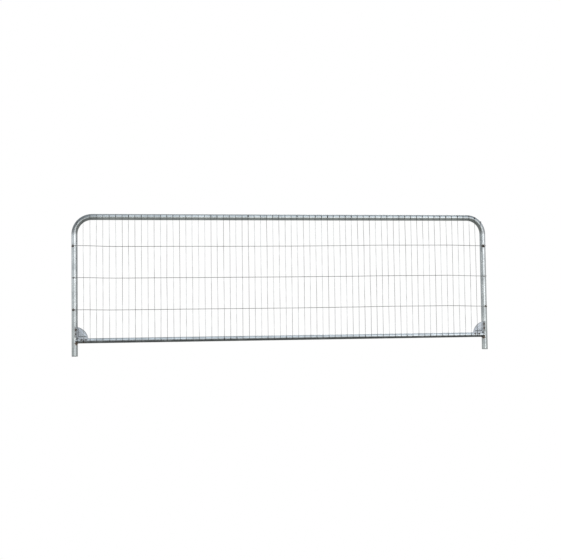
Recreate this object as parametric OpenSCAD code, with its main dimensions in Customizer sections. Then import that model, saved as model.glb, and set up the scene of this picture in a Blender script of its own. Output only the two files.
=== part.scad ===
// Round-top welded mesh barrier panel, hot-dip galvanised steel.
// One bent tube makes both posts and the top rail. A thinner bottom rail is coped between the
// posts, a pressed gusset stiffens each lower corner, and a welded wire mesh closes the front.
// Millimetres. X runs along the panel, -Y is the mesh side, +Z is up.
// The origin is midway between the posts, at the height of the open post ends.

/* [Hoop tube] */
// outside diameter of the bent tube
hoop_od = 48.3; // [42:0.1:60]
// wall of the bent tube
hoop_wall = 1.5; // [1.2:0.1:3]
// bend radius of the two upper corners, to the tube axis
bend_r = 138; // [110:1:200]

/* [Bottom rail] */
// outside diameter of the bottom rail
rail_od = 40; // [32:0.1:42]
// wall of the bottom rail
rail_wall = 1.5; // [1.2:0.1:3]
// how far the rail axis sits in front of the post axes, so that the front faces line up
rail_forward = 4; // [1:0.1:4]
// length of the open post ends under the bottom rail
foot_h = 103; // [60:1:200]

/* [Wire mesh] */
// number of upright wires
upright_count = 67; // [31:2:71]
// spacing of the upright wires
upright_pitch = 50.9; // [40:0.1:60]
// diameter of the upright wires
upright_d = 3; // [2.5:0.1:4]
// diameter of the line wires that cross them
line_d = 4; // [3:0.1:5]
// spacing of the three line wires
line_pitch = 256; // [200:1:280]
// lowest line wire above the underside of the bottom rail
line_start = 268; // [200:1:300]
// top of the hoop above the uppermost line wire
line_stop = 257; // [200:1:300]
// depth that each line wire is pressed into the uprights as they are welded
set_down = 0.4; // [0.1:0.1:0.8]
// outermost upright inside the post axis
edge_inset = 21; // [14:1:24]
// wire ends stop this far inside the tube's silhouette
end_inset = 5; // [2:0.5:8]

/* [Corner gussets] */
// radius of the quarter-round plate
gusset_r = 108; // [95:1:110]
// square corner of the plate, above the axis of the bottom rail
gusset_rise = 6; // [0:0.5:7]
// sheet thickness
gusset_t = 2.5; // [2:0.1:3]
// back face of the sheet, in front of the post axes
gusset_forward = 19.5; // [18:0.1:19.6]
// radius of the notch that clears the tube joint
notch_r = 32; // [28:1:36]
// height of the pressed triangle above the sheet
emboss_h = 1.8; // [1:0.1:1.8]
// width of the slope round the pressed triangle
emboss_bevel = 6; // [4:0.5:8]
// length of the pressed triangle's two legs
emboss_leg = 70; // [40:1:72]
// square corner of the pressed triangle, from the plate's own corner
emboss_corner = 28; // [26:1:30]

/* [Welds] */
// leg of the bead that joins the bottom rail to each post
bead_leg = 3.5; // [2:0.1:5]
// the bead stops this far behind the front of the post
bead_front = 1.2; // [1:0.1:2]
// radius of one deposit of a gusset stitch
stitch_r = 5; // [3:0.1:5]
// spacing of the deposits in a stitch
stitch_step = 5; // [3:0.1:5]
// number of deposits in a stitch
stitch_count = 3; // [2:1:4]
// distances of the two stitches on each gusset leg from the tube axes
stitch_at = [55, 88];
// radius of the weld pad under the end of a line wire
pad_r = 7; // [5:0.1:8]
// middle of that pad outside the post axis
pad_out = 9; // [8:0.1:12]
// front of that pad, in front of the post axis
pad_front = 30; // [28:0.1:30.5]

/* [Hidden] */
$fn = 48;
bay_count = 12;
hoop_r = hoop_od / 2;
rail_r = rail_od / 2;
post_x = (upright_count - 1) / 2 * upright_pitch + edge_inset;
rail_z = foot_h + rail_r;
line_z = [for (i = [0:2]) foot_h + line_start + i * line_pitch];
top_z = line_z[2] + line_stop - hoop_r;
bend_x = post_x - bend_r;
bend_z = top_z - bend_r;
upright_y = -hoop_r - upright_d / 2;
line_y = -hoop_r - upright_d - line_d / 2 + set_down;
upright_foot_z = foot_h + end_inset;
line_half = post_x + hoop_r - end_inset;

// Uprights that end on the straight top rail, and how many stand on each bend.
bend_uprights = ceil((post_x - edge_inset - bend_x) / upright_pitch - 1);
first_full = bend_uprights + 1;
full_count = upright_count - 2 * first_full;

// How far into a bend a given x lies, and the height there of the tube's ridge and outer edge.
function into_bend(x) = max(abs(x) - bend_x, 0);
function arc_z(r, x) = bend_z + sqrt(r * r - pow(into_bend(x), 2));
function upright_x(i) = (i - (upright_count - 1) / 2) * upright_pitch;
function bay_start(k) = first_full + round(k * full_count / bay_count);

// ---- shared shapes ----

// Solid bar of radius r along the hoop's axis. It reaches below the post ends by extra.
module hoop_bar(r, extra = 0) {
  for (side = [-1, 1]) {
    translate([side * post_x, 0, -extra]) cylinder(r = r, h = bend_z + extra);
    mirror([side < 0 ? 1 : 0, 0, 0])
      translate([bend_x, 0, bend_z]) rotate([90, 0, 0])
        rotate_extrude(angle = 90) translate([bend_r, 0]) circle(r = r);
  }
  translate([-bend_x, 0, top_z]) rotate([0, 90, 0]) cylinder(r = r, h = 2 * bend_x);
}

// Solid bar of radius r along the bottom rail's axis, from post axis to post axis.
module rail_bar(r) {
  translate([-post_x, -rail_forward, rail_z]) rotate([0, 90, 0]) cylinder(r = r, h = 2 * post_x);
}

// Upper part of a post, for trimming what is welded to it.
module post_bar(side, r) {
  translate([side * post_x, 0, 0]) cylinder(r = r, h = bend_z);
}

// Puts a shape drawn for the right-hand end at the chosen end.
module at_end(side) {
  mirror([side < 0 ? 1 : 0, 0, 0]) children();
}

// ---- tubes ----

module frame_hoop() {
  color([0.68, 0.70, 0.72])
    difference() {
      hoop_bar(hoop_r);
      hoop_bar(hoop_r - hoop_wall, 1);
    }
}

// The rail's ends are coped to sit on the round posts.
module bottom_rail() {
  color([0.66, 0.68, 0.70])
    difference() {
      rail_bar(rail_r);
      rail_bar(rail_r - rail_wall);
      for (side = [-1, 1]) post_bar(side, hoop_r);
    }
}

// ---- gussets ----

// Square-cornered triangle, drawn about the centre that its sides taper towards.
module triangle_outline(leg) {
  inner = leg / (2 + sqrt(2));
  polygon([[-inner, -inner], [leg - inner, -inner], [-inner, leg - inner]]);
}

// Raised triangle with sloping sides, standing on the plane z = 0.
module pressed_triangle(leg) {
  inner = leg / (2 + sqrt(2));
  translate([emboss_corner + inner, emboss_corner + inner])
    linear_extrude(emboss_h, scale = (inner - emboss_bevel) / inner) triangle_outline(leg);
}

// Flat sheet with the triangle pressed out of it, before it is fitted to the tubes.
module gusset_sheet() {
  difference() {
    union() {
      linear_extrude(gusset_t)
        difference() {
          intersection() {
            circle(r = gusset_r);
            square(gusset_r);
          }
          circle(r = notch_r);
        }
      translate([0, 0, gusset_t]) pressed_triangle(emboss_leg);
    }
    translate([0, 0, -0.01]) pressed_triangle(emboss_leg - gusset_t);
  }
}

module gusset(side) {
  color([0.70, 0.72, 0.74])
    difference() {
      at_end(side)
        translate([post_x, -gusset_forward, rail_z + gusset_rise])
          mirror([1, 0, 0]) rotate([90, 0, 0]) gusset_sheet();
      post_bar(side, hoop_r);
      rail_bar(rail_r);
    }
}

module left_gusset() { gusset(-1); }
module right_gusset() { gusset(1); }

// ---- wires ----

module line_wire(i) {
  color([0.60, 0.62, 0.64])
    translate([-line_half, line_y, line_z[i]]) rotate([0, 90, 0])
      cylinder(d = line_d, h = 2 * line_half);
}

module lower_line_wire() { line_wire(0); }
module middle_line_wire() { line_wire(1); }
module upper_line_wire() { line_wire(2); }

// Round bars of diameter d in the places of the uprights from index a to index b.
module upright_bars(a, b, d) {
  for (i = [a:b])
    translate([upright_x(i), upright_y, upright_foot_z])
      cylinder(d = d, h = arc_z(bend_r + hoop_r, upright_x(i)) - end_inset - upright_foot_z);
}

// Uprights from index a to index b, each with three shallow seats for the line wires.
module uprights(a, b) {
  color([0.62, 0.64, 0.66])
    difference() {
      upright_bars(a, b, upright_d);
      for (i = [0:2]) line_wire(i);
    }
}

module upright_bay(k) { uprights(bay_start(k), bay_start(k + 1) - 1); }

module left_edge_upright() { uprights(0, 0); }
module left_bend_uprights() { uprights(1, bend_uprights); }
module upright_bay_01() { upright_bay(0); }
module upright_bay_02() { upright_bay(1); }
module upright_bay_03() { upright_bay(2); }
module upright_bay_04() { upright_bay(3); }
module upright_bay_05() { upright_bay(4); }
module upright_bay_06() { upright_bay(5); }
module upright_bay_07() { upright_bay(6); }
module upright_bay_08() { upright_bay(7); }
module upright_bay_09() { upright_bay(8); }
module upright_bay_10() { upright_bay(9); }
module upright_bay_11() { upright_bay(10); }
module upright_bay_12() { upright_bay(11); }
module right_bend_uprights() { uprights(upright_count - first_full, upright_count - 2); }
module right_edge_upright() { uprights(upright_count - 1, upright_count - 1); }

// ---- welds ----

// Row of overlapping round deposits along X, with its middle at the origin.
module deposits(r, step, count) {
  for (i = [0:count - 1]) translate([(i - (count - 1) / 2) * step, 0, 0]) sphere(r = r);
}

// Bead that fills the corner between the coped rail end and the post, open at the flush front.
module rail_weld(side) {
  color([0.45, 0.42, 0.40])
    at_end(side)
      difference() {
        intersection() {
          rail_bar(rail_r + bead_leg);
          post_bar(1, hoop_r + bead_leg);
          translate([0, -hoop_r + bead_front, 0]) cube([2 * post_x, 2 * hoop_od, bend_z]);
        }
        rail_bar(rail_r);
        post_bar(1, hoop_r);
      }
}

module left_rail_weld() { rail_weld(-1); }
module right_rail_weld() { rail_weld(1); }

// Stitches along both legs of a gusset, standing on the front face of the sheet.
module gusset_welds(side) {
  face_y = gusset_forward + gusset_t;
  post_gap = sqrt(hoop_r * hoop_r - face_y * face_y);
  rail_gap = sqrt(rail_r * rail_r - pow(face_y - rail_forward, 2));
  color([0.40, 0.37, 0.35])
    at_end(side)
      difference() {
        for (d = stitch_at) {
          translate([post_x - post_gap, -face_y, rail_z + d]) rotate([0, 90, 0])
            deposits(stitch_r, stitch_step, stitch_count);
          translate([post_x - d, -face_y, rail_z + rail_gap])
            deposits(stitch_r, stitch_step, stitch_count);
        }
        translate([0, -face_y, 0]) cube([2 * post_x, 2 * hoop_od, bend_z]);
        post_bar(1, hoop_r);
        rail_bar(rail_r);
      }
}

module left_gusset_welds() { gusset_welds(-1); }
module right_gusset_welds() { gusset_welds(1); }

// Round pads of weld under the ends of the line wires, on the outer flank of a post.
module post_wire_welds(side) {
  color([0.36, 0.33, 0.31])
    at_end(side)
      difference() {
        for (z = line_z)
          translate([post_x + pad_out, -pad_front, z]) rotate([-90, 0, 0])
            cylinder(r = pad_r, h = pad_front);
        post_bar(1, hoop_r);
        for (i = [0:2]) line_wire(i);
      }
}

module left_post_wire_welds() { post_wire_welds(-1); }
module right_post_wire_welds() { post_wire_welds(1); }

frame_hoop();
bottom_rail();
left_gusset();
right_gusset();
upper_line_wire();
middle_line_wire();
lower_line_wire();
left_edge_upright();
right_edge_upright();
left_bend_uprights();
right_bend_uprights();
upright_bay_01();
upright_bay_02();
upright_bay_03();
upright_bay_04();
upright_bay_05();
upright_bay_06();
upright_bay_07();
upright_bay_08();
upright_bay_09();
upright_bay_10();
upright_bay_11();
upright_bay_12();
left_rail_weld();
right_rail_weld();
left_gusset_welds();
right_gusset_welds();
left_post_wire_welds();
right_post_wire_welds();
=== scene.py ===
"""Round-top welded mesh barrier panel in galvanised steel.

Metres, in the CAD model's frame: X along the panel, -Y out of the mesh side, +Z up."""
import math
import random

import bpy
from mathutils import Matrix, Vector, noise


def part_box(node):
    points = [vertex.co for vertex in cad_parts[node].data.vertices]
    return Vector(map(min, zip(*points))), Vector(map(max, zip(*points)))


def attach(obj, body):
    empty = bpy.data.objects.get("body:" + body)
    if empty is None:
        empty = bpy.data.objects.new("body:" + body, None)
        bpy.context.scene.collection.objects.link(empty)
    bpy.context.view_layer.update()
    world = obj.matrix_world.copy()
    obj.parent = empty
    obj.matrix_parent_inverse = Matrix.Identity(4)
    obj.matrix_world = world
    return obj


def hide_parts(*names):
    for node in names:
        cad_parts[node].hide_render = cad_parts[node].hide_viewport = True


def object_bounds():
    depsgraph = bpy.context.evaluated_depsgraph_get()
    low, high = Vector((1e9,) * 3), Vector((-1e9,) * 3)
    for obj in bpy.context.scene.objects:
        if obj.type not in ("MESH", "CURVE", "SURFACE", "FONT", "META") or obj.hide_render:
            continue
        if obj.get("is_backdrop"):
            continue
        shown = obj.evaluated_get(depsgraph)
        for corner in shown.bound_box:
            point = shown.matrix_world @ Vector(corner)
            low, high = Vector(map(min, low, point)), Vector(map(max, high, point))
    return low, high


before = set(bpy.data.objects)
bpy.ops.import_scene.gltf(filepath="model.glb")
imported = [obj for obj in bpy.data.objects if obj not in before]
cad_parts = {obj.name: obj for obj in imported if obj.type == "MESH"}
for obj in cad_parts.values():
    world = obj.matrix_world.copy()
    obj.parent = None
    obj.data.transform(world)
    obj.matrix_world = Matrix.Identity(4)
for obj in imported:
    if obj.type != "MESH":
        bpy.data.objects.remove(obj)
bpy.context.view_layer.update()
scene = bpy.context.scene
rng = random.Random(7)

# ---------------------------------------------------------------- sizes
TUBE_R = 0.02415  # posts, bends and top rail, outside
RAIL_R = 0.020  # bottom rail, outside
WALL = 0.0015  # of the hoop
BEND_R = 0.138  # of the hoop's bends, at the tube's axis
RAIL_Y = -0.004  # the bottom rail's axis lies a little in front of the posts' axes
UPRIGHT_R = 0.0015
LINE_R = 0.002
UPRIGHTS = 67
BAYS = 12

# Gussets: quarter-round plates, flat apart from a pressed triangle.
GUSSET_R = 0.108
GUSSET_RISE = 0.006  # of the round edge's centre over the bottom rail's axis
GUSSET_T = 0.0025
NOTCH_R = 0.032  # corner cut away to clear the joint
FACE_Y = -0.022  # front of the plate
EMBOSS_H = 0.0018
EMBOSS_BEVEL = 0.006
EMBOSS_CORNER = 0.028  # from the plate's own corner to the triangle's two straight sides
EMBOSS_LEG = 0.070
STITCHES = (0.055, 0.088)  # welds along a gusset's legs, from where the tubes' axes cross


def box_middle(node):
    """Middle of a node's box, as [x, y, z]."""
    lo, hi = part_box(node)
    return [(a + b) / 2 for a, b in zip(lo, hi)]


hoop_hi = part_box("frame_hoop")[1]
POST_X = hoop_hi.x - TUBE_R
TOP_Z = hoop_hi.z - TUBE_R
BEND_X = POST_X - BEND_R
BEND_Z = TOP_Z - BEND_R
RAIL_Z = box_middle("bottom_rail")[2]

# From a post's axis, and from the bottom rail's, to where the gussets' front face meets the tube.
POST_GAP = math.sqrt(TUBE_R**2 - FACE_Y**2)
RAIL_GAP = math.sqrt(RAIL_R**2 - (FACE_Y - RAIL_Y) ** 2)

x_first = box_middle("left_edge_upright")[0]
x_last = box_middle("right_edge_upright")[0]
upright_xs = [x_first + (x_last - x_first) * i / (UPRIGHTS - 1) for i in range(UPRIGHTS)]
UPRIGHT_Y = -TUBE_R - UPRIGHT_R
UPRIGHT_NODES = (
    ["left_edge_upright", "left_bend_uprights"]
    + ["upright_bay_%02d" % k for k in range(1, BAYS + 1)]
    + ["right_bend_uprights", "right_edge_upright"]
)
LINE_NODES = ["lower_line_wire", "middle_line_wire", "upper_line_wire"]
line_zs = [box_middle(n)[2] for n in LINE_NODES]
LINE_Y = box_middle(LINE_NODES[0])[1]
LINE_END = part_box(LINE_NODES[0])[1].x


def arc_z(radius, x):
    """Height on a bend, at that radius from the bend's centre, above the place x."""
    return BEND_Z + math.sqrt(max(radius**2 - max(abs(x) - BEND_X, 0) ** 2, 0))


def eased(t):
    """0 below 0, 1 above 1, and smooth between."""
    t = min(1.0, max(0.0, t))
    return t * t * (3 - 2 * t)


def between(value, low, high, rise, fall):
    """1 between low and high and 0 outside, with smooth flanks of those widths inside the two ends."""
    return eased((value - low) / rise) * eased((high - value) / fall)


def peak(value, at, width):
    """Bell curve of height 1."""
    return math.exp(-(((value - at) / width) ** 2))


def wobble(x, y, z):
    """Smooth noise from -1 to 1, the same on every run."""
    return noise.noise(Vector((x, y, z)))


HANG = (0.0045, 0.0050, 0.0070)  # of the lower, middle and upper line wire
END_DROP = 0.007


def line_z(k, x):
    """Height of a line wire at x. It hangs a little low over the left half and drops to its right end."""
    hang = HANG[k] * between(x, -1.66, 1.0, 0.28, 1.0)
    drop = END_DROP * eased((x - 1.35) / 0.35)
    wave = 0.0010 * wobble(x * 2.3, k * 7.0, 0.5) + 0.0004 * wobble(x * 11.0, k * 5.0, 2.5)
    return line_zs[k] - hang - drop + wave


# Places where heat has burnt the zinc, as (point, reach): the tubes' rust is drawn round them.
# The pads under the line wires' ends: lower, middle, upper, on the left post and then on the right one.
PAD_OUT = {-1: (0.0075, 0.007, 0.013), 1: (0.009, 0.000, -0.001)}  # outwards from a post's axis
PAD_Y = -0.0245
PAD_BURN = (0.019, 0.011, 0.020)  # reach of the burn round each pad
post_pads = [
    Vector((side * (POST_X + out), PAD_Y, line_z(k, side * POST_X)))
    for side in (-1, 1)
    for k, out in enumerate(PAD_OUT[side])
]
post_stitches = [Vector((s * (POST_X - POST_GAP), FACE_Y, RAIL_Z + d)) for s in (-1, 1) for d in STITCHES]
rail_stitches = [Vector((s * (POST_X - d), FACE_Y, RAIL_Z + RAIL_GAP)) for s in (-1, 1) for d in STITCHES]
under_joints = [Vector((s * (POST_X - 0.014), -0.018, RAIL_Z - RAIL_R)) for s in (-1, 1)]
rail_burn = Vector((0.071 - POST_X, RAIL_Y - 0.017, RAIL_Z - 0.010))
burnt = (
    list(zip(post_pads, 2 * PAD_BURN))
    + list(zip(post_stitches, (0.007, 0.013, 0.014, 0.014)))
    + [(p, 0.013) for p in rail_stitches]
    + [(p, 0.024) for p in under_joints]
    + [(rail_burn, 0.012)]
)


# ---------------------------------------------------------------- camera
def make_camera():
    """The photo's view: from low down and left of the middle, turned towards the right."""
    data = bpy.data.cameras.new("Camera")
    cam = bpy.data.objects.new("Camera", data)
    scene.collection.objects.link(cam)
    yaw, pitch, roll = (math.radians(a) for a in (-7.50, 2.39, 0.72))
    turn = Matrix.Rotation(yaw, 3, "Z") @ Matrix.Rotation(pitch, 3, "X") @ Matrix.Rotation(roll, 3, "Y")
    right, ahead, up = turn.col[0], turn.col[1], turn.col[2]
    m = Matrix((right, up, -ahead)).transposed().to_4x4()
    m.translation = Vector((-0.955, -6.945, 0.306))
    cam.matrix_world = m
    data.sensor_width = 36.0
    data.lens = 54.545455
    scene.camera = cam


# ---------------------------------------------------------------- material building
class Nodes:
    """Short names for building one node tree."""

    def __init__(self, tree):
        self.tree = tree
        tree.nodes.clear()

    def add(self, kind, **settings):
        n = self.tree.nodes.new(kind)
        for k, v in settings.items():
            setattr(n, k, v)
        return n

    def put(self, socket, value):
        if isinstance(value, bpy.types.NodeSocket):
            self.tree.links.new(value, socket)
        else:
            socket.default_value = value

    def math(self, op, a, b, clamp=False):
        n = self.add("ShaderNodeMath", operation=op, use_clamp=clamp)
        self.put(n.inputs[0], a)
        self.put(n.inputs[1], b)
        return n.outputs[0]

    def ramp(self, value, low, high, to_low=0.0, to_high=1.0, smooth=True):
        n = self.add("ShaderNodeMapRange", interpolation_type="SMOOTHSTEP" if smooth else "LINEAR")
        for socket, v in zip(n.inputs, (value, low, high, to_low, to_high)):
            self.put(socket, v)
        return n.outputs[0]

    def stops(self, value, *places):
        """Grey level, four times the ramp's, through the given (value, level) places."""
        n = self.add("ShaderNodeValToRGB")
        self.put(n.inputs[0], value)
        ramp = n.color_ramp.elements
        while len(ramp) < len(places):
            ramp.new(0.5)
        for stop, (at, level) in zip(ramp, places):
            stop.position, stop.color = at, (level / 4, level / 4, level / 4, 1)
        return self.math("MULTIPLY", n.outputs[0], 4.0)

    def mix(self, factor, a, b):
        n = self.add("ShaderNodeMix", data_type="RGBA")
        self.put(n.inputs[0], factor)
        self.put(n.inputs[6], a)
        self.put(n.inputs[7], b)
        return n.outputs[2]

    def scaled(self, vector, x, y, z):
        n = self.add("ShaderNodeVectorMath", operation="MULTIPLY")
        self.put(n.inputs[0], vector)
        n.inputs[1].default_value = (x, y, z)
        return n.outputs[0]

    def noise(self, vector, scale, detail, rough=0.55):
        n = self.add("ShaderNodeTexNoise")
        self.put(n.inputs["Vector"], vector)
        n.inputs["Scale"].default_value = scale
        n.inputs["Detail"].default_value = detail
        n.inputs["Roughness"].default_value = rough
        return n.outputs["Fac"]

    def attribute(self, name):
        return self.add("ShaderNodeAttribute", attribute_name=name)

    def cells(self, vector, scale):
        n = self.add("ShaderNodeTexVoronoi", feature="F1")
        self.put(n.inputs["Vector"], vector)
        n.inputs["Scale"].default_value = scale
        return n


def rgb(r, g, b):
    return (r, g, b, 1.0)


def new_material(name):
    m = bpy.data.materials.new(name)
    m.use_nodes = True
    return m, Nodes(m.node_tree)


def rust_over(n, where, colour, roughness, metallic, height):
    """Lays rust over a zinc coat where the mesh's own "burnt" value says that a weld broke it."""
    burnt_by = n.attribute("burnt").outputs["Fac"]
    ragged = n.math("SUBTRACT", n.noise(where, 190.0, 4.0, 0.65), 0.5)
    broken = n.math("ADD", burnt_by, n.math("MULTIPLY", ragged, 1.3))
    spot = n.ramp(broken, 0.42, 0.60)
    halo = n.ramp(broken, 0.18, 0.60)
    mottle = n.ramp(n.noise(where, 300.0, 3.0), 0.35, 0.65)
    tint = n.mix(mottle, rgb(0.055, 0.035, 0.026), rgb(0.17, 0.085, 0.045))
    colour = n.mix(n.math("MULTIPLY", halo, 0.55), colour, rgb(0.24, 0.20, 0.17))
    colour = n.mix(spot, colour, tint)
    roughness = n.ramp(spot, 0.0, 1.0, roughness, 0.85)
    metallic = n.math("MULTIPLY", metallic, n.math("SUBTRACT", 1.0, spot), True)
    return colour, roughness, metallic, n.math("ADD", height, n.math("MULTIPLY", spot, 0.8))


def surface(n, colour, metallic, roughness, height, strength, depth):
    """Ends a material: one shader with a bump."""
    bump = n.add("ShaderNodeBump")
    bump.inputs["Strength"].default_value = strength
    bump.inputs["Distance"].default_value = depth
    n.put(bump.inputs["Height"], height)
    shader = n.add("ShaderNodeBsdfPrincipled")
    n.put(shader.inputs["Base Color"], colour)
    n.put(shader.inputs["Metallic"], metallic)
    n.put(shader.inputs["Roughness"], roughness)
    n.put(shader.inputs["Normal"], bump.outputs[0])
    n.put(n.add("ShaderNodeOutputMaterial").inputs["Surface"], shader.outputs[0])


def zinc(name, light, dark, spangle, streak, rough, metal=0.85, rust=True, grime_and_shade_colour=(0.13, 0.137, 0.145)):
    """Hot-dip zinc that has weathered: crystal spangle, duller patches, streaks along the bar, specks of
    dirt.

    The mesh's own value of dirt and painted shade lays the dark colour over it. spangle is the crystals'
    scale, and a small streak stretches the draw lines along the bar."""
    m, n = new_material(name)
    where = n.attribute("straight").outputs["Vector"]

    crystal = n.add("ShaderNodeSeparateColor")
    n.put(crystal.inputs[0], n.cells(where, spangle).outputs["Color"])
    patches = n.noise(where, 9.0, 5.0, 0.6)
    drawn = n.noise(n.scaled(where, streak, 1.0, 1.0), 130.0, 3.0)
    tone = n.math("MULTIPLY", n.ramp(patches, 0.32, 0.68), 0.62)
    tone = n.math("ADD", tone, n.math("MULTIPLY", crystal.outputs[0], 0.18))
    tone = n.math("ADD", tone, n.math("MULTIPLY", n.ramp(drawn, 0.35, 0.65), 0.20))
    colour = n.mix(tone, rgb(*dark), rgb(*light))

    specks = n.ramp(n.noise(where, 420.0, 2.0, 0.7), 0.62, 0.74)
    dirt = n.math("MULTIPLY", specks, n.ramp(n.noise(where, 24.0, 3.0), 0.42, 0.62))
    colour = n.mix(n.math("MULTIPLY", dirt, 0.65), colour, rgb(0.10, 0.10, 0.095))
    # The mesh's value of dirt and painted shade lays the dark colour over the zinc.
    grime_and_shade = n.attribute("grime_and_shade").outputs["Fac"]
    grime_and_shade = n.math("MULTIPLY", grime_and_shade, n.ramp(patches, 0.25, 0.6, 0.75, 1.0))
    colour = n.mix(grime_and_shade, colour, rgb(*grime_and_shade_colour))

    by_crystal = n.ramp(crystal.outputs[1], 0.0, 1.0, rough - 0.03, rough + 0.03, False)
    roughness = n.math("ADD", by_crystal, n.ramp(patches, 0.3, 0.7, 0.06, -0.03))
    roughness = n.math("ADD", roughness, n.math("MULTIPLY", dirt, 0.2), True)
    metallic = n.math("SUBTRACT", metal, n.math("MULTIPLY", dirt, 0.5), True)
    dents = n.math("MULTIPLY", n.noise(where, 35.0, 2.0), 0.30)
    height = n.math("ADD", n.math("MULTIPLY", drawn, 0.25), dents)
    if rust:
        colour, roughness, metallic, height = rust_over(n, where, colour, roughness, metallic, height)
    surface(n, colour, metallic, roughness, height, 0.35, 0.0006)
    return m


def weld_metal():
    """Weld metal with mill scale and rust, and remains of zinc on its high places."""
    m, n = new_material("weld_metal")
    where = n.add("ShaderNodeTexCoord").outputs["Object"]
    grain = n.noise(where, 260.0, 4.0, 0.65)
    coat = n.ramp(n.noise(where, 120.0, 3.0), 0.53, 0.65)
    steel = n.mix(n.ramp(grain, 0.35, 0.68), rgb(0.020, 0.016, 0.015), rgb(0.105, 0.066, 0.046))
    colour = n.mix(n.math("MULTIPLY", coat, 0.75), steel, rgb(0.36, 0.36, 0.36))
    metallic = n.math("MULTIPLY", coat, 0.7)
    roughness = n.ramp(coat, 0.0, 1.0, 0.85, 0.5)
    surface(n, colour, metallic, roughness, grain, 0.6, 0.0008)
    return m


# ---------------------------------------------------------------- mesh building
class Mesh:
    """Collects vertices and faces. Each vertex also has the place that it would have on a straight bar, how
    much a weld has burnt it, and how much dirt and painted shade lie on it."""

    def __init__(self):
        self.verts, self.faces, self.straight, self.burnt, self.grime_and_shade = [], [], [], [], []

    def vert(self, p, straight=None, burnt=0.0, grime_and_shade=0.0):
        self.verts.append(tuple(p))
        self.straight.append(tuple(straight if straight is not None else p))
        self.burnt.append(burnt)
        self.grime_and_shade.append(grime_and_shade)
        return len(self.verts) - 1

    def ring(self, points, straights=None, burnts=None, grime_and_shade_values=None):
        blank = [0.0] * len(points)
        return [self.vert(*v) for v in zip(points, straights or points, burnts or blank, grime_and_shade_values or blank)]

    def bridge(self, a, b):
        count = len(a)
        for i in range(count):
            j = (i + 1) % count
            self.faces.append((a[i], a[j], b[j], b[i]))

    def tube(self, rings):
        """Joins each ring to the next."""
        for a, b in zip(rings, rings[1:]):
            self.bridge(b, a)

    def object(self, name, material, slot, nodes=()):
        data = bpy.data.meshes.new(name)
        data.from_pydata(self.verts, [], self.faces)
        data.validate()
        data.attributes.new("straight", "FLOAT_VECTOR", "POINT").data.foreach_set(
            "vector", [c for p in self.straight for c in p]
        )
        data.attributes.new("burnt", "FLOAT", "POINT").data.foreach_set("value", self.burnt)
        data.attributes.new("grime_and_shade", "FLOAT", "POINT").data.foreach_set("value", self.grime_and_shade)
        data.materials.append(material)
        data.shade_smooth()
        o = bpy.data.objects.new(name, data)
        scene.collection.objects.link(o)
        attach(o, "root")
        if nodes:
            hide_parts(*nodes)


def burnt_at(p):
    """How near p is to a burnt place: 1 on it, 0 beyond its reach."""
    return max(max(0.0, 1.0 - (p - q).length / reach) for q, reach in burnt)


def circle(count, radius):
    """Points of a circle, as (cosine, sine) times the radius."""
    turns = [2 * math.pi * k / count for k in range(count)]
    return [(math.cos(t) * radius, math.sin(t) * radius) for t in turns]


def frames_along(path):
    """(point, side, other side) at each point of a path, with no twist between them."""
    out, side = [], None
    for i, p in enumerate(path):
        ahead = (path[min(i + 1, len(path) - 1)] - path[max(i - 1, 0)]).normalized()
        if side is None:
            side = Vector((0, -1, 0)) if abs(ahead.y) < 0.9 else Vector((1, 0, 0))
        side = (side - ahead * side.dot(ahead)).normalized()
        out.append((p, side, ahead.cross(side)))
    return out


def bar(mesh, path, radius, ring, offset=0.0, cut=0.75, soil_and_shade=None):
    """Solid round bar along a path, with its ends cut and a little rounded. radius may be a function of the
    index, and the last argument gives the dirt and painted shade at a point."""
    frames = frames_along(path)
    run, previous, rings = offset, path[0], []
    for i, (p, a, b) in enumerate(frames):
        run += (p - previous).length
        previous = p
        spread = circle(ring, radius(i) if callable(radius) else radius)
        straights = [(run, c, s) for c, s in spread]
        grime_and_shade_values = [soil_and_shade(p) if soil_and_shade else 0.0] * ring
        rings.append(mesh.ring([p + a * c + b * s for c, s in spread], straights, None, grime_and_shade_values))
    mesh.tube(rings)
    for end, i, sign in ((rings[0], 0, -1), (rings[-1], len(path) - 1, 1)):
        p, a, b = frames[i]
        near, far = (path[0], path[1]) if i == 0 else (path[-2], path[-1])
        ahead = (far - near).normalized() * sign
        r = radius(i) if callable(radius) else radius
        spread = circle(ring, r * cut)
        rim = [p + ahead * r * 0.25 + a * c + b * s for c, s in spread]
        tip = mesh.ring(rim, [(run, c, s) for c, s in spread])
        middle = mesh.vert(p + ahead * r * 0.28, (run, 0, 0))
        fan = [(tip[k], middle, tip[(k + 1) % ring]) for k in range(ring)]
        if sign > 0:
            mesh.bridge(tip, end)
            mesh.faces += [f[::-1] for f in fan]
        else:
            mesh.bridge(end, tip)
            mesh.faces += fan


def spaced(a, b, step):
    count = max(1, round(abs(b - a) / step))
    return [a + (b - a) * i / count for i in range(count + 1)]


def blob(mesh, centre, size, seed, rings, segments, rough=0.12, grime_and_shade=0.0):
    """Lump of weld metal: an uneven round deposit of that half-size along X, Y and Z."""
    grid = []
    for i in range(1, rings):
        phi = math.pi * i / rings
        row = []
        for k in range(segments):
            t = 2 * math.pi * k / segments
            d = Vector((math.sin(phi) * math.cos(t), math.sin(phi) * math.sin(t), math.cos(phi)))
            swell = 1 + rough * noise.noise(d * 1.7 + Vector((seed * 3.1, seed * 1.7, seed)))
            row.append(centre + Vector((d.x * size[0], d.y * size[1], d.z * size[2])) * swell)
        grid.append(mesh.ring(row, grime_and_shade_values=[grime_and_shade] * segments))
    top = mesh.vert(centre + Vector((0, 0, size[2])), grime_and_shade=grime_and_shade)
    bottom = mesh.vert(centre - Vector((0, 0, size[2])), grime_and_shade=grime_and_shade)
    mesh.tube(grid)
    for k in range(segments):
        j = (k + 1) % segments
        mesh.faces.append((grid[0][k], grid[0][j], top))
        mesh.faces.append((grid[-1][j], grid[-1][k], bottom))


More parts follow.
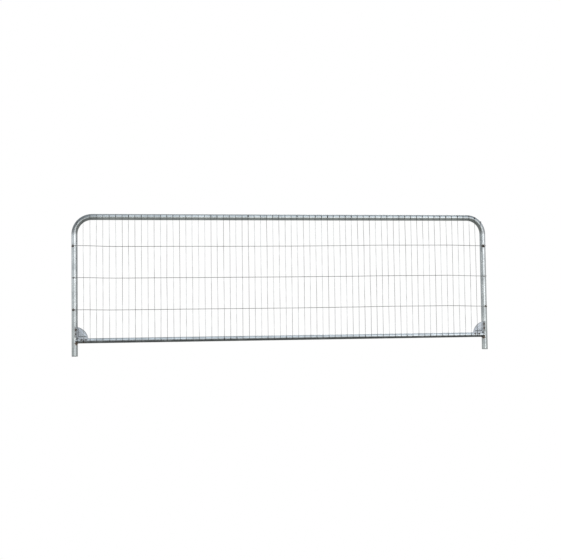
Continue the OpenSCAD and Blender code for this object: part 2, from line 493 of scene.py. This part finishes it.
# ---------------------------------------------------------------- the pieces
HOOP_SIDES = 64
RAIL_SIDES = 56
BEND_STEPS = 40
BORE = 0.40  # how far up the open feet's bores are drawn
BEAD_STEPS = 140
PLATE_STEPS = 76


def weld_line_shade(rise, y):
    """Painted shade along a rail's front, where the uprights are welded on, at that rise over the rail's
    axis: a dark band standing in for a dark reflection, partly weld-burnt zinc.
    """
    return 0.35 * peak(rise, -0.003, 0.0060) if y < 0 else 0.0


def heat_and_shade_by_gusset(p):
    """Painted shade on a post beside the leg of the gusset, partly zinc dulled by the weld's heat."""
    inward = POST_X - abs(p.x)
    if p.y > 0 or p.z > 0.26:
        return 0.0
    return 0.9 * peak(inward, 0.006, 0.009) * between(p.z, 0.140, 0.243, 0.015, 0.012)


def hoop_tube(material):
    """The bent tube: two posts, two bends and the top rail in one run, a little flattened in its bends."""
    path, bend = [], []
    for z in spaced(0.0, BEND_Z, 0.008):
        path.append(Vector((-POST_X, 0, z)))
        bend.append(0.0)
    for i in range(1, BEND_STEPS):
        t = math.pi * (1 - i / BEND_STEPS / 2)
        path.append(Vector((-BEND_X + BEND_R * math.cos(t), 0, BEND_Z + BEND_R * math.sin(t))))
        bend.append(math.sin(math.pi * i / BEND_STEPS) ** 0.5)
    for x in spaced(-BEND_X, BEND_X, 0.010):
        path.append(Vector((x, 0, TOP_Z)))
        bend.append(0.0)
    for i in range(1, BEND_STEPS):
        t = math.pi / 2 * (1 - i / BEND_STEPS)
        path.append(Vector((BEND_X + BEND_R * math.cos(t), 0, BEND_Z + BEND_R * math.sin(t))))
        bend.append(math.sin(math.pi * i / BEND_STEPS) ** 0.5)
    for z in spaced(BEND_Z, 0.0, 0.008):
        path.append(Vector((POST_X, 0, z)))
        bend.append(0.0)

    mesh = Mesh()
    frames = frames_along(path)
    run, rings = 0.0, []
    for i, (p, a, b) in enumerate(frames):
        if i:
            run += (p - path[i - 1]).length
        row, straights, burnts, grime_and_shade_values = [], [], [], []
        for c, s in circle(HOOP_SIDES, 1.0):
            wave = 0.00018 * wobble(run * 5.0, c * 0.8, s * 0.8)
            across = TUBE_R * (1 + 0.008 * bend[i]) + wave
            inplane = TUBE_R * (1 - 0.02 * bend[i]) + wave
            v = p + a * c * across + b * s * inplane
            row.append(v)
            straights.append((run, TUBE_R * c, TUBE_R * s))
            burnts.append(burnt_at(v))
            # Painted shade: a dark band along the top rail's front, standing in for a dark reflection;
            # partly weld-burnt zinc.
            seam_shade = weld_line_shade(v.z - p.z, v.y) if abs(p.x) <= BEND_X else 0.0
            # Painted shade along the top of the top rail, standing in for a dark reflection; partly dusty
            # zinc.
            dust_and_top_shade = 0.35 * eased((v.z - p.z) / TUBE_R * 2 - 0.9) if abs(p.x) <= BEND_X else 0.0
            # Painted shade on the bends, standing in for a dark reflection; partly zinc dulled by bending.
            dull_and_bend_shade = 0.5 * eased((p.z - BEND_Z + 0.012) / 0.03) * eased((abs(p.x) - BEND_X + 0.16) / 0.2)
            # Painted shade, darker towards the ground and on the posts' outer sides near the feet; partly
            # splashed dirt.
            outer = max(0.0, (abs(v.x) - POST_X) / TUBE_R)
            splash_and_foot_shade = 0.18 * max(0.0, 1 - v.z / 0.8) + 0.35 * outer * max(0.0, 1 - v.z / 0.35)
            grime_and_shade_values.append(max(seam_shade, dust_and_top_shade, dull_and_bend_shade, heat_and_shade_by_gusset(v), splash_and_foot_shade))
        rings.append(mesh.ring(row, straights, burnts, grime_and_shade_values))
    mesh.tube(rings)

    # Open feet: a rounded lip and the bore.
    for end, (p, a, b), at, flip in ((rings[0], frames[0], 0.0, 1), (rings[-1], frames[-1], run, -1)):
        profile = [(TUBE_R - 0.0002, -0.0002), (TUBE_R - 0.0013, -0.0002), (TUBE_R - WALL, 0.0)]
        profile += [(TUBE_R - WALL, z) for z in spaced(0.01, BORE, 0.03)] + [(0.0005, BORE)]
        before = end
        for r, z in profile:
            spread = circle(HOOP_SIDES, r)
            now = mesh.ring(
                [p + Vector((0, 0, z)) + a * c + b * s for c, s in spread],
                [(at + flip * z, c, s) for c, s in spread],
                [0.35 if z < 0.004 else 0.1] * HOOP_SIDES,
            )
            if flip > 0:
                mesh.bridge(before, now)
            else:
                mesh.bridge(now, before)
            before = now
        mesh.faces.append(tuple(before if flip < 0 else before[::-1]))
    mesh.object("hoop_tube", material, "galvanised_tube", ["frame_hoop"])


def cope_x(y):
    """Distance from a post's axis at which something at depth y meets its surface."""
    return math.sqrt(max(TUBE_R**2 - y**2, 0.0))


def rail_tube(material):
    """The bottom rail, with both ends coped to the posts."""
    mesh, rings = Mesh(), []
    for t in spaced(-1.0, 1.0, 0.0045):
        row, straights, burnts, grime_and_shade_values = [], [], [], []
        for c, s in circle(RAIL_SIDES, 1.0):
            wave = 0.00015 * wobble(t * 9.0, c, 4.0 + s)
            y, z = RAIL_Y - c * (RAIL_R + wave), RAIL_Z + s * (RAIL_R + wave)
            v = Vector((t * (POST_X - cope_x(y) + 0.0004), y, z))
            row.append(v)
            straights.append((v.x + 9.0, y - RAIL_Y, z - RAIL_Z))
            burnts.append(burnt_at(v))
            # Painted shade on the bottom rail's underside, reaching higher on the left; partly splashed
            # dirt.
            splash_and_underside_shade = eased((0.42 - 0.30 * eased((v.x - 0.5) / 0.7) - s) / 0.5)
            grime_and_shade_values.append(max(weld_line_shade(z - RAIL_Z, y), splash_and_underside_shade))
        rings.append(mesh.ring(row, straights, burnts, grime_and_shade_values))
    for x, y in zip(rings, rings[1:]):
        mesh.bridge(x, y)
    mesh.faces.append(tuple(rings[0]))
    mesh.faces.append(tuple(rings[-1][::-1]))
    mesh.object("rail_tube", material, "galvanised_tube", ["bottom_rail"])


def on_side(places, side):
    """Those of the places that are on the left (-1) or the right (1)."""
    return [q for q in places if q.x * side > 0]


def rail_bead(side, material):
    """Rippled bead that follows the saddle where the rail meets a post. It fades out at the flush front."""
    mesh, path = Mesh(), []
    for i in range(BEAD_STEPS + 1):
        a = math.radians(18 + 324 * i / BEAD_STEPS)
        y, z = RAIL_Y - math.cos(a) * (RAIL_R + 0.0008), RAIL_Z + math.sin(a) * (RAIL_R + 0.0008)
        path.append(Vector((side * (POST_X - cope_x(y) - 0.0008), y, z)))

    def radius(i):
        fade = min(1.0, min(i, BEAD_STEPS - i) / 12)
        ripple = 0.10 * math.sin(i * 1.9) + 0.16 * wobble(i * 0.15, side * 3.0, 0)
        return 0.0030 * (0.35 + 0.65 * fade) * (1 + ripple)

    bar(mesh, path, radius, 12)
    for q in on_side(under_joints, side):
        for shift, half, seed in (
            ((side * -0.0010, 0.0035, 0.0045), (0.0085, 0.0075, 0.0070), side + 4.0),
            ((side * -0.0055, 0.0060, 0.0060), (0.0070, 0.0080, 0.0060), side + 7.0),
        ):
            blob(mesh, q + Vector(shift), half, seed, 12, 16, 0.4)
    name = "left" if side < 0 else "right"
    mesh.object(name + "_rail_bead", material, "weld_metal", [name + "_rail_weld"])


def crease_shade(side, u, v):
    """Painted shade on the plate's front: in the creases at the base of the pressed triangle's two straight
    sides, and along the leg that is welded to the post; and darker along the round edge."""
    at_post = peak(u, 0.0310, 0.0024) * between(v, 0.022, 0.100, 0.004, 0.008)
    at_rail = peak(v, 0.0275, 0.0025) * between(u, 0.022, 0.100, 0.004, 0.008)
    edge = eased((math.hypot(u, v) - GUSSET_R + 0.008) / 0.006)
    leg = (0.9 if side > 0 else 0.4) * eased((0.021 - u) / 0.006)
    return max(0.9 * at_post, 0.5 * at_rail, 0.55 * edge * eased(v / 0.06), leg)


def pressed(u, v):
    """Height of the pressed triangle over the flat rim, at u and v from the plate's own corner."""
    blend = 0.0012
    diagonal = (2 * EMBOSS_CORNER + EMBOSS_LEG - u - v) / math.sqrt(2)
    inside = (u - EMBOSS_CORNER, v - EMBOSS_CORNER, diagonal)
    nearest = min(inside)
    if nearest < -0.004:
        return 0.0
    depth = nearest - blend * math.log(sum(math.exp((nearest - d) / blend) for d in inside))
    t = min(1.0, max(0.0, (depth + 0.0008) / EMBOSS_BEVEL))
    return EMBOSS_H * (0.7 * eased(t) + 0.3 * t)


def gusset(side, material):
    """Quarter-round plate pressed from sheet. Its straight edges meet the tubes' flanks, and its inner
    corner is notched to clear the joint."""
    mesh = Mesh()
    near_post, near_rail = POST_GAP - 0.0004, RAIL_GAP - GUSSET_RISE - 0.0004
    origin = Vector((side * POST_X, 0, RAIL_Z + GUSSET_RISE))

    def place(i, j):
        rho = NOTCH_R + (GUSSET_R - NOTCH_R) * i / PLATE_STEPS
        low, high = math.asin(near_rail / rho), math.acos(near_post / rho)
        phi = low + (high - low) * j / PLATE_STEPS
        return rho * math.cos(phi), rho * math.sin(phi)

    def sheet(back):
        grid = []
        for i in range(PLATE_STEPS + 1):
            row = []
            for j in range(PLATE_STEPS + 1):
                u, v = place(i, j)
                cut = 0.0006 if {i, j} & {0, PLATE_STEPS} else 0.0
                y = FACE_Y - pressed(u, v) + 0.0004 * wobble(u * 14, v * 14, side * 5.0)
                y += GUSSET_T - cut if back else cut
                p = origin + Vector((-side * u, y, v))
                row.append(mesh.vert(p, p, burnt_at(p) * 0.8, 0.0 if back else crease_shade(side, u, v)))
            grid.append(row)
        return grid

    def outline(grid):
        return (
            [grid[i][0] for i in range(PLATE_STEPS)]
            + [grid[PLATE_STEPS][j] for j in range(PLATE_STEPS)]
            + [grid[i][PLATE_STEPS] for i in range(PLATE_STEPS, 0, -1)]
            + [grid[0][j] for j in range(PLATE_STEPS, 0, -1)]
        )

    front, rear = sheet(False), sheet(True)
    flip = side > 0
    for grid, turned in ((front, flip), (rear, not flip)):
        for i in range(PLATE_STEPS):
            for j in range(PLATE_STEPS):
                f = (grid[i][j], grid[i + 1][j], grid[i + 1][j + 1], grid[i][j + 1])
                mesh.faces.append(f[::-1] if turned else f)
    edges = [outline(front), outline(rear)]
    if flip:
        edges.reverse()
    mesh.bridge(*edges)
    name = "left" if side < 0 else "right"
    mesh.object(name + "_gusset_plate", material, "galvanised_sheet", [name + "_gusset"])


def soiling_and_shadow(tone, seed, slow, quick, lowest=-1.0, highest=2.0):
    """Dirt along a wire, in its own tone with slow and quick changes, and painted shadow, full where it lies
    on the tubes.
    """

    def at(p):
        run = p.x + p.z
        change = slow * wobble(run * 3.0, seed, 0.5) + quick * wobble(run * 17.0, seed, 4.5)
        # Painted shadow: the wire is made dark where it lies over the tubes, partly burnt zinc.
        held_shadow = 1 - between(p.z, lowest, highest + 0.004, 0.008, 0.008)
        return min(1.0, max(0.0, tone + change, held_shadow))

    return at


def upright_path(x, lowest, highest):
    """An upright's line: straight runs, with a slight set at each line wire where it was welded down."""
    knots = [lowest] + line_zs + [highest]
    shifts = [rng.gauss(0, 0.0008)] + [rng.gauss(0, 0.0010) for _ in line_zs]
    shifts.append(rng.gauss(0, 0.0010) - 0.003 * eased((x + 0.1) / 0.6))
    depths = [0.0] + [rng.gauss(0, 0.0002) for _ in line_zs] + [0.0]
    path = []
    for k in range(len(knots) - 1):
        for t in (0.0, 0.04, 0.12, 0.15, 0.21, 0.30, 0.40, 0.50, 0.60, 0.70, 0.80, 0.84, 0.88, 0.96):
            bow = 0.0006 * math.sin(math.pi * t) * wobble(x * 31, k * 2.0, 0.7)
            shift, depth, height = (row[k] + (row[k + 1] - row[k]) * t for row in (shifts, depths, knots))
            path.append(Vector((x + shift + bow, UPRIGHT_Y + depth, height)))
    path.append(Vector((x + shifts[-1], UPRIGHT_Y, knots[-1])))
    return path, dict(zip(knots, shifts))


def mesh_uprights(material):
    """All the uprights, one object for each CAD node. Returns where each crosses the three line wires."""
    crossings = {}
    for node in UPRIGHT_NODES:
        lo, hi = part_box(node)
        mesh = Mesh()
        for i, x in enumerate(upright_xs):
            if not lo.x - 0.001 < x < hi.x + 0.001:
                continue
            top = arc_z(BEND_R + TUBE_R, x) - 0.005 + rng.uniform(-0.0015, 0.0008)
            path, shifts = upright_path(x, lo.z + rng.uniform(-0.0008, 0.0015), top)
            under_rail = arc_z(BEND_R - TUBE_R, x)
            soil_and_shade = soiling_and_shadow(rng.gauss(0.50, 0.22), i * 1.7, 0.7, 0.8, RAIL_Z + RAIL_R, under_rail)
            bar(mesh, path, UPRIGHT_R, 10, i * 1.37, 0.8, soil_and_shade)
            crossings[i] = [x + shifts[z] for z in line_zs]
        mesh.object(node.replace("upright", "wire"), material, "galvanised_wire", [node])
    return crossings


def line_wires(material):
    """The three line wires. Each waves a little between the uprights that it was pressed into."""
    for k, node in enumerate(LINE_NODES):
        mesh, path = Mesh(), []
        for x in spaced(-LINE_END, LINE_END, 0.0125):
            path.append(Vector((x, LINE_Y + 0.0002 * wobble(x * 9.0, 3.0, k * 4.0), line_z(k, x))))
        bar(mesh, path, LINE_R, 12, k * 4.1, 0.8, soiling_and_shadow(0.45, k * 2.9, 0.8, 0.4))
        mesh.object(node.replace("_line_wire", "_line"), material, "galvanised_wire", [node])


def spot_welds(crossings, material):
    """Squeezed-out metal at each crossing of the mesh, and where each upright lies on the tubes."""
    mesh = Mesh()
    for i, xs in crossings.items():
        for k, x in enumerate(xs):
            centre = Vector((x, (UPRIGHT_Y + LINE_Y) / 2, line_z(k, x)))
            blob(mesh, centre, (0.0026, 0.0017, 0.0027), i + line_zs[k], 5, 8)
    mesh.object("crossing_welds", material, "galvanised_wire")

    mesh = Mesh()
    for i, x in enumerate(upright_xs):
        # Some nuggets are darkened towards black and made larger: partly burnt weld, partly painted shadow
        # round the weld on the tube.
        size, dirt, on_bend = rng.uniform(0.75, 1.2), rng.random() ** 2, abs(x) > BEND_X
        size *= 0.7 + 0.5 * dirt
        lower, upper = arc_z(BEND_R, x), arc_z(BEND_R + TUBE_R, x) - 0.006
        z = upper - 0.007 if on_bend else lower + 0.0055 + rng.gauss(0, 0.001)
        half = (0.0052, 0.0026, 0.0068) if on_bend else (0.0038 * size, 0.0021, 0.0078 * size)
        blob(mesh, Vector((x, UPRIGHT_Y + 0.0008, z)), half, i * 1.3, 8, 10, 0.25, dirt)
    mesh.object("upright_welds_on_hoop", material, "galvanised_wire")

    mesh = Mesh()
    for i, x in enumerate(upright_xs):
        # Some nuggets are darkened towards black and made larger: partly burnt weld, partly painted shadow
        # round the weld on the tube.
        size, dirt = rng.uniform(0.75, 1.2), rng.random() ** 2
        size *= 0.7 + 0.5 * dirt
        centre = Vector((x, RAIL_Y - RAIL_R - 0.0008, RAIL_Z + rng.gauss(0, 0.0015)))
        blob(mesh, centre, (0.0036 * size, 0.0019, 0.0062 * size), i * 1.7, 8, 10, 0.25, dirt)
    mesh.object("upright_welds_on_rail", material, "galvanised_wire")


def post_pads_and_stitches(material):
    """The larger, rough welds: under the line wires' ends on the posts, and along the gussets' legs."""
    pad_sizes = {-1: (0.90, 0.65, 1.0), 1: (0.90, 0.50, 1.4)}
    stitch_sizes = {-1: (0.6, 1.15), 1: (1.25, 1.25)}
    lumps = (-0.0055, 0.0, 0.0050)
    for side, name in ((-1, "left"), (1, "right")):
        mesh = Mesh()
        for k, (p, size) in enumerate(zip(on_side(post_pads, side), pad_sizes[side])):
            half = Vector((0.0075, 0.0052, 0.0085)) * size
            blob(mesh, p + Vector((side * -0.0035, 0.0008, -0.0008)), half, k + side * 2.0, 12, 18, 0.45)
            half = Vector((0.0050, 0.0048, 0.0056)) * size
            run_off = Vector((side * 0.0045, 0.0030, -0.0045 * size))
            blob(mesh, p + run_off, half, k * 1.9 + side, 10, 14, 0.45)
        mesh.object(name + "_post_pads", material, "weld_metal", [name + "_post_wire_welds"])
        mesh = Mesh()
        for k, p in enumerate(on_side(post_stitches, side)):
            half = Vector((0.0058, 0.0036, 0.0050)) * stitch_sizes[side][k]
            for d in lumps:
                blob(mesh, p + Vector((-side * 0.0012, -0.0002, d)), half, k + d * 900, 8, 12, 0.35)
        for k, p in enumerate(on_side(rail_stitches, side)):
            half = (0.0048, 0.0030, 0.0042)
            for d in lumps:
                blob(mesh, p + Vector((d, -0.0002, 0)), half, k * 2.0 + d * 700, 8, 12, 0.3)
        mesh.object(name + "_gusset_stitches", material, "weld_metal", [name + "_gusset_welds"])


# ---------------------------------------------------------------- studio
# Light of the surroundings as (place from left 0 to right 1, level), for three heights of the sky.
LOW_LIGHT = (
    (0.0, 1.1), (0.06, 1.2), (0.13, 0.85), (0.21, 1.1), (0.31, 1.1), (0.40, 0.8), (0.47, 0.8), (0.50, 1.8),
    (0.525, 4.0), (0.56, 3.4), (0.62, 1.5), (0.72, 1.6), (0.84, 1.3), (0.92, 0.75), (1.0, 0.6),
)
MIDDLE_LIGHT = (
    (0.0, 0.35), (0.31, 0.38), (0.43, 0.60), (0.49, 1.3), (0.58, 1.3), (0.66, 1.5), (0.80, 1.3), (1.0, 1.0),
)
HIGH_LIGHT = (
    (0.20, 0.40), (0.42, 0.65), (0.49, 1.50), (0.56, 1.15), (0.66, 1.05), (0.75, 0.90), (1.0, 0.90),
)


def studio():
    """A white floor and backdrop that only the camera sees, and the light that falls on the barrier."""
    floor = bpy.data.meshes.new("floor")
    reach = 60.0
    corners = [(x * reach, y * reach, 0) for x, y in ((-1, -1), (1, -1), (1, 1), (-1, 1))]
    floor.from_pydata(corners, [], [(0, 1, 2, 3)])
    m, n = new_material("floor")
    white = n.add("ShaderNodeEmission")
    n.put(n.add("ShaderNodeOutputMaterial").inputs["Surface"], white.outputs[0])
    floor.materials.append(m)
    ground = bpy.data.objects.new("floor", floor)
    ground.location.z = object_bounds()[0].z - 0.0003
    ground.visible_glossy = False
    ground.visible_diffuse = False
    ground.visible_shadow = False
    scene.collection.objects.link(ground)
    ground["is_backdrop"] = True

    world = bpy.data.worlds.new("studio")
    scene.world = world
    world.use_nodes = True
    n = Nodes(world.node_tree)
    toward = n.add("ShaderNodeSeparateXYZ")
    n.put(toward.inputs[0], n.add("ShaderNodeTexCoord").outputs["Generated"])
    right, back, up = toward.outputs[0], toward.outputs[1], toward.outputs[2]
    across = n.ramp(right, -1.0, 1.0, smooth=False)
    low, middle, high = (n.stops(across, *places) for places in (LOW_LIGHT, MIDDLE_LIGHT, HIGH_LIGHT))
    round_about = n.ramp(back, -0.2, 0.6, n.ramp(up, 0.11, 0.22, low, middle), 0.60)
    overhead = n.ramp(back, -0.45, 0.10, high, 0.45)
    sky = n.ramp(up, 0.40, 0.75, round_about, overhead)
    earth = n.ramp(up, -0.9, -0.2, 0.32, 0.42)
    level = n.ramp(up, -0.26, -0.04, earth, sky)
    tint = n.mix(n.ramp(across, 0.42, 0.58), rgb(0.945, 0.98, 1.0), rgb(1.0, 0.985, 0.985))
    tint = n.mix(n.ramp(up, 0.15, 0.45), tint, rgb(0.87, 0.95, 1.0))
    tint = n.mix(n.ramp(up, -0.05, 0.05), rgb(0.97, 1.0, 0.93), tint)
    lit = n.add("ShaderNodeBackground")
    n.put(lit.inputs[0], tint)
    n.put(lit.inputs[1], level)
    seen = n.add("ShaderNodeBackground")
    seen.inputs[0].default_value = rgb(1, 1, 1)
    seen.inputs[1].default_value = 1.0
    pick = n.add("ShaderNodeMixShader")
    n.put(pick.inputs[0], n.add("ShaderNodeLightPath").outputs["Is Camera Ray"])
    n.put(pick.inputs[1], lit.outputs[0])
    n.put(pick.inputs[2], seen.outputs[0])
    n.put(n.add("ShaderNodeOutputWorld").inputs["Surface"], pick.outputs[0])

    for name, place, aim, size, power in (
        ("key", (3.9, -9.0, 2.5), (0, 0, 0.6), (2.4, 4.6), 35),
        ("rear", (2.5, 6.0, 4.6), (0, 0, 0.6), (4.0, 2.0), 60),
    ):
        data = bpy.data.lights.new(name, "AREA")
        data.shape, data.size, data.size_y, data.energy = "RECTANGLE", size[0], size[1], power
        lamp = bpy.data.objects.new(name, data)
        lamp.location = place
        lamp.rotation_euler = (Vector(aim) - Vector(place)).to_track_quat("-Z", "Y").to_euler()
        lamp.visible_camera = False
        scene.collection.objects.link(lamp)
    scene.view_settings.view_transform = "Standard"


make_camera()
studio()

tube_zinc = zinc("zinc_tube", (0.66, 0.69, 0.71), (0.44, 0.47, 0.49), 150.0, 0.06, 0.26)
# A lighter copy of the tube's zinc: its lighter colour is a painted highlight, standing in for the brighter
# highlights on the bottom rail.
brightened_rail_zinc = zinc(
    "zinc_rail_brightened", (0.76, 0.80, 0.84), (0.54, 0.57, 0.60), 150.0, 0.06, 0.32, grime_and_shade_colour=(0.160, 0.168, 0.180)
)
sheet_zinc = zinc("zinc_sheet", (0.50, 0.53, 0.58), (0.31, 0.33, 0.37), 80.0, 1.0, 0.36)
wire_zinc = zinc(
    "zinc_wire", (0.84, 0.86, 0.87), (0.60, 0.61, 0.62), 260.0, 0.03, 0.46,
    rust=False, grime_and_shade_colour=(0.07, 0.07, 0.07),
)
line_zinc = zinc(
    "zinc_line_wire", (0.40, 0.40, 0.40), (0.22, 0.215, 0.21), 260.0, 0.03, 0.55,
    metal=0.5, rust=False, grime_and_shade_colour=(0.04, 0.04, 0.04),
)
# The nuggets' near-black colour is partly burnt weld and partly painted shadow round the uprights' welds on
# the tubes.
nugget = zinc(
    "zinc_spot_weld", (0.40, 0.42, 0.44), (0.20, 0.21, 0.22), 400.0, 1.0, 0.55,
    metal=0.6, rust=False, grime_and_shade_colour=(0.012, 0.012, 0.015),
)
weld = weld_metal()

hoop_tube(tube_zinc)
rail_tube(brightened_rail_zinc)
for end in (-1, 1):
    rail_bead(end, weld)
    gusset(end, sheet_zinc)
line_wires(line_zinc)
spot_welds(mesh_uprights(wire_zinc), nugget)
post_pads_and_stitches(weld)
